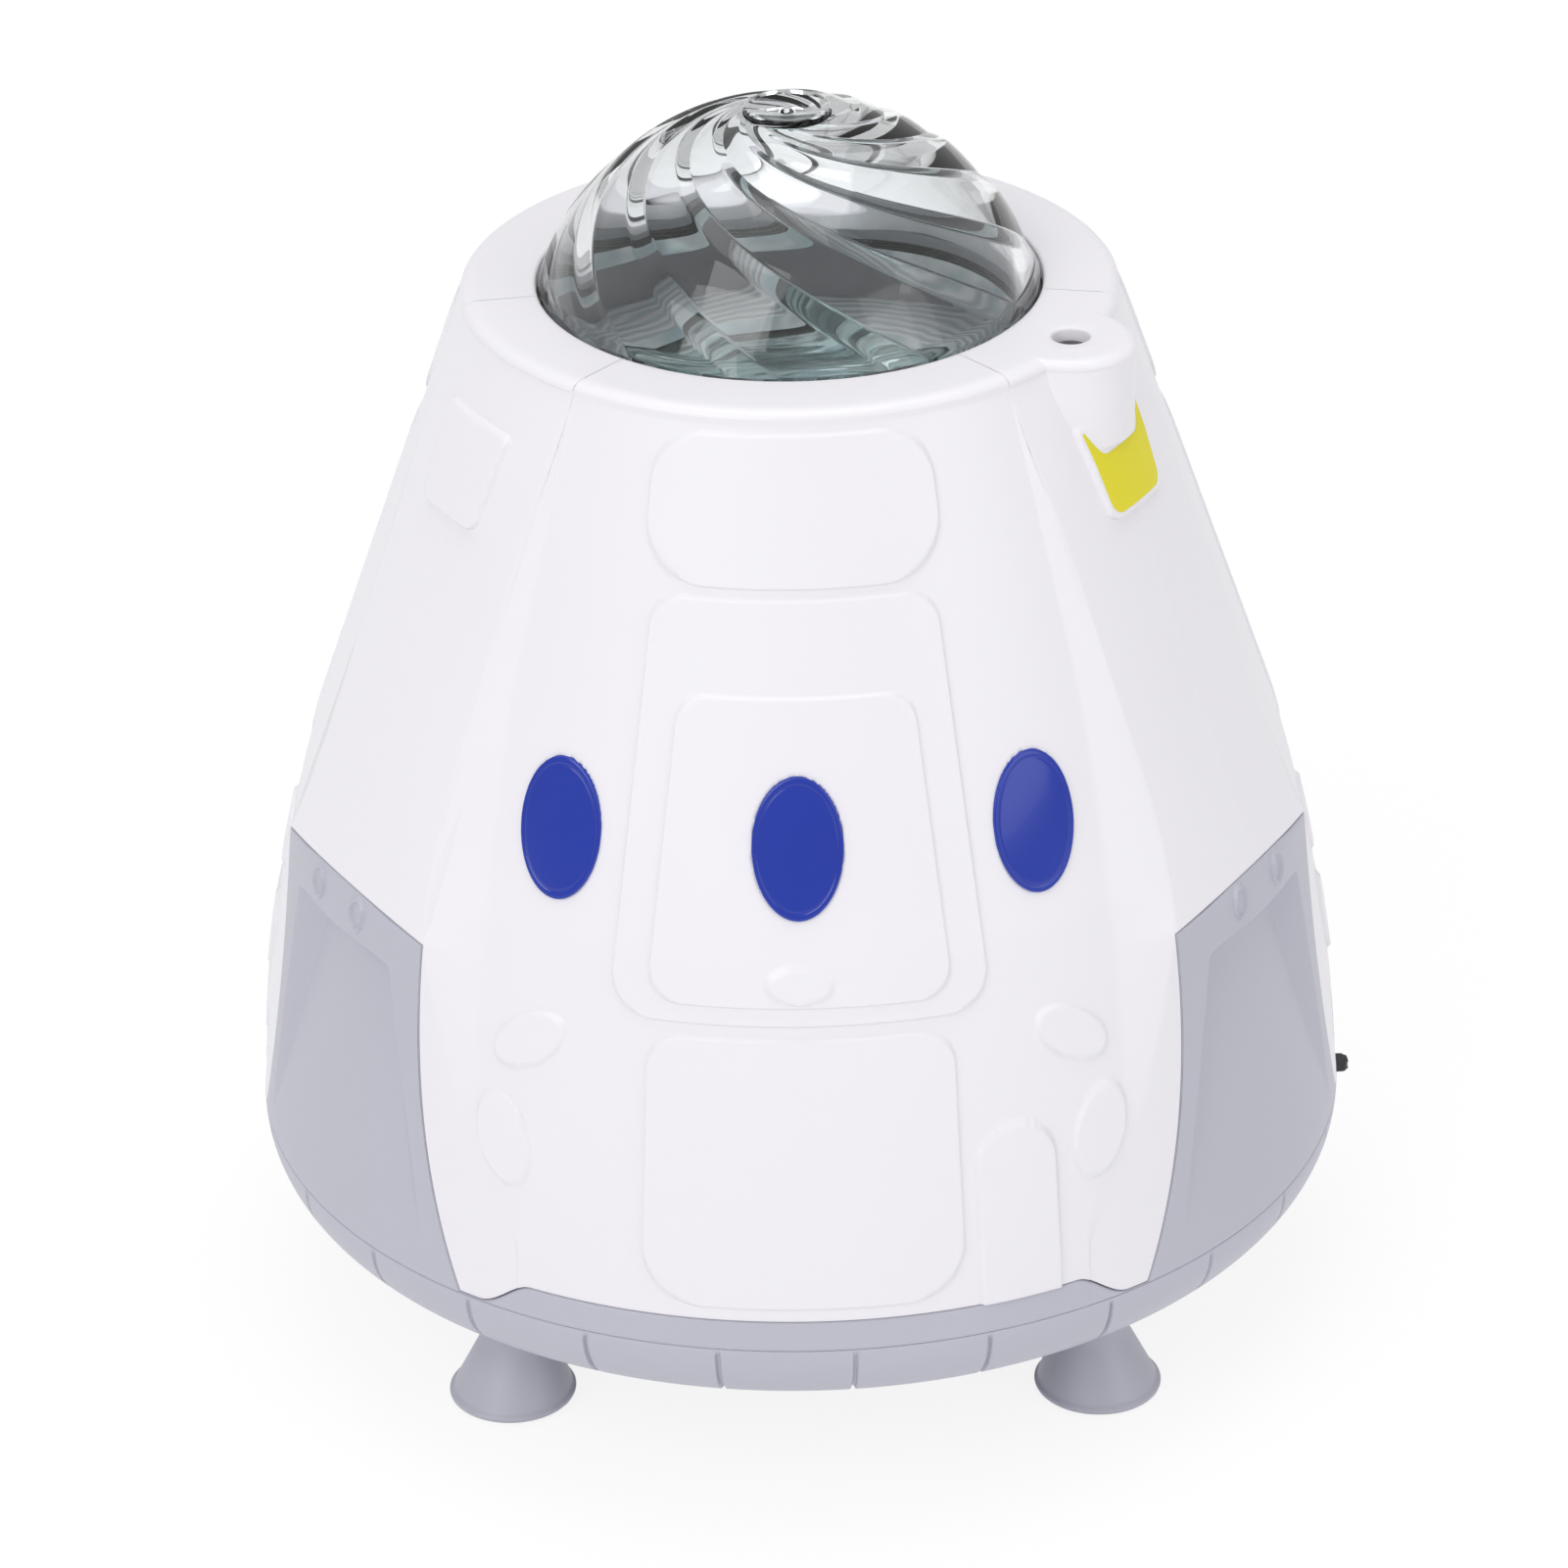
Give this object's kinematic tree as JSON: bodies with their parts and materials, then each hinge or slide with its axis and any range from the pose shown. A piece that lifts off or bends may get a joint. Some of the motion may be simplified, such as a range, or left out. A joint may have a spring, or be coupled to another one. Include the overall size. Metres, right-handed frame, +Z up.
{
  "type": "planetarium projector",
  "caption": "Space-capsule shaped night-light projector: swirled clear dome over a turning ripple disc, a star laser beside it, blue portholes, grey base tray on flared feet.",
  "frame": {"origin": "on the floor plane under the middle of the base, on the dome's axis", "axes": "+Z up along the dome's axis, the front face with the middle door towards -Y, +X to the right seen from the front"},
  "size_m": [0.1714, 0.1681, 0.1933],
  "materials": {
    "white_shell": "satin injection-moulded ABS",
    "grey_shell": "satin injection-moulded ABS",
    "blue_window": "tinted translucent polycarbonate",
    "clear_dome": "clear moulded polycarbonate",
    "clear_optic": "clear moulded acrylic",
    "star_film": "dark blue diffraction film on acrylic",
    "dark_plastic": "black nylon",
    "grey_plastic": "grey ABS",
    "gear_plastic": "white acetal",
    "reflector": "vacuum-metallised ABS",
    "aluminium": "extruded and machined aluminium",
    "steel": "zinc-plated steel",
    "brass": "turned brass",
    "board": "green solder mask on glass-fibre laminate",
    "led_white": "phosphor under clear silicone",
    "rubber": "moulded rubber"
  },
  "bodies": {
    "housing": {"base_tray": "grey_shell", "board_capacitors": "aluminium", "board_chip": "dark_plastic", "board_screws": "steel", "board_sockets": "gear_plastic", "clamp_screws": "steel", "condenser_lens": "clear_optic", "cover_screws": "steel", "cup_screws": "steel", "deck_screws": "steel", "dome_clamp": "grey_plastic", "dome_lens": "clear_dome", "drive_motor": "steel", "foot_front_left": "grey_shell", "foot_front_right": "grey_shell", "foot_pad_front_left": "rubber", "foot_pad_front_right": "rubber", "foot_pad_rear_left": "rubber", "foot_pad_rear_right": "rubber", "foot_rear_left": "grey_shell", "foot_rear_right": "grey_shell", "foot_screws": "steel", "heat_sink": "aluminium", "laser_barrel": "brass", "laser_clamp": "dark_plastic", "laser_lens": "clear_optic", "laser_window": "clear_optic", "led": "led_white", "led_board": "board", "lower_shell": "grey_shell", "main_board": "board", "motor_screws": "steel", "porthole_front_a": "blue_window", "porthole_front_b": "blue_window", "porthole_front_c": "blue_window", "power_jack": "dark_plastic", "projector_deck": "grey_plastic", "reflector_cup": "reflector", "remote_eye": "dark_plastic", "remote_eye_board": "board", "rotor_cover": "grey_plastic", "shell_screws": "steel", "sink_screws": "steel", "star_motor": "steel", "switch_body": "steel", "tray_screws": "steel", "upper_shell": "white_shell"},
    "rotor": {"rotor_gear": "gear_plastic", "ripple_disc": "clear_optic"},
    "pinion": {"drive_pinion": "gear_plastic", "motor_shaft": "steel"},
    "star": {"star_disc": "star_film", "star_hub": "gear_plastic"},
    "knob": {"switch_knob": "dark_plastic"}
  },
  "joints": [
    {"name": "rotor_spin", "type": "hinge", "parent": "housing", "child": "rotor", "pos_m": [0, 0, 0.141], "axis": [0, 0, 1], "continuous": true},
    {"name": "pinion_spin", "type": "hinge", "parent": "housing", "child": "pinion", "pos_m": [0, 0.0368, 0.141], "axis": [0, 0, 1], "continuous": true},
    {"name": "star_spin", "type": "hinge", "parent": "housing", "child": "star", "pos_m": [0.0336, -0.0194, 0.152], "axis": [0, 0, 1], "continuous": true},
    {"name": "switch_slide", "type": "slide", "parent": "housing", "child": "knob", "axis": [-0.1011, 0.9949, 0], "range_m": [0, 0.002]}
  ],
  "couplings": [
    {"joint": "pinion_spin", "follows": "rotor_spin", "ratio": -6.6667}
  ]
}
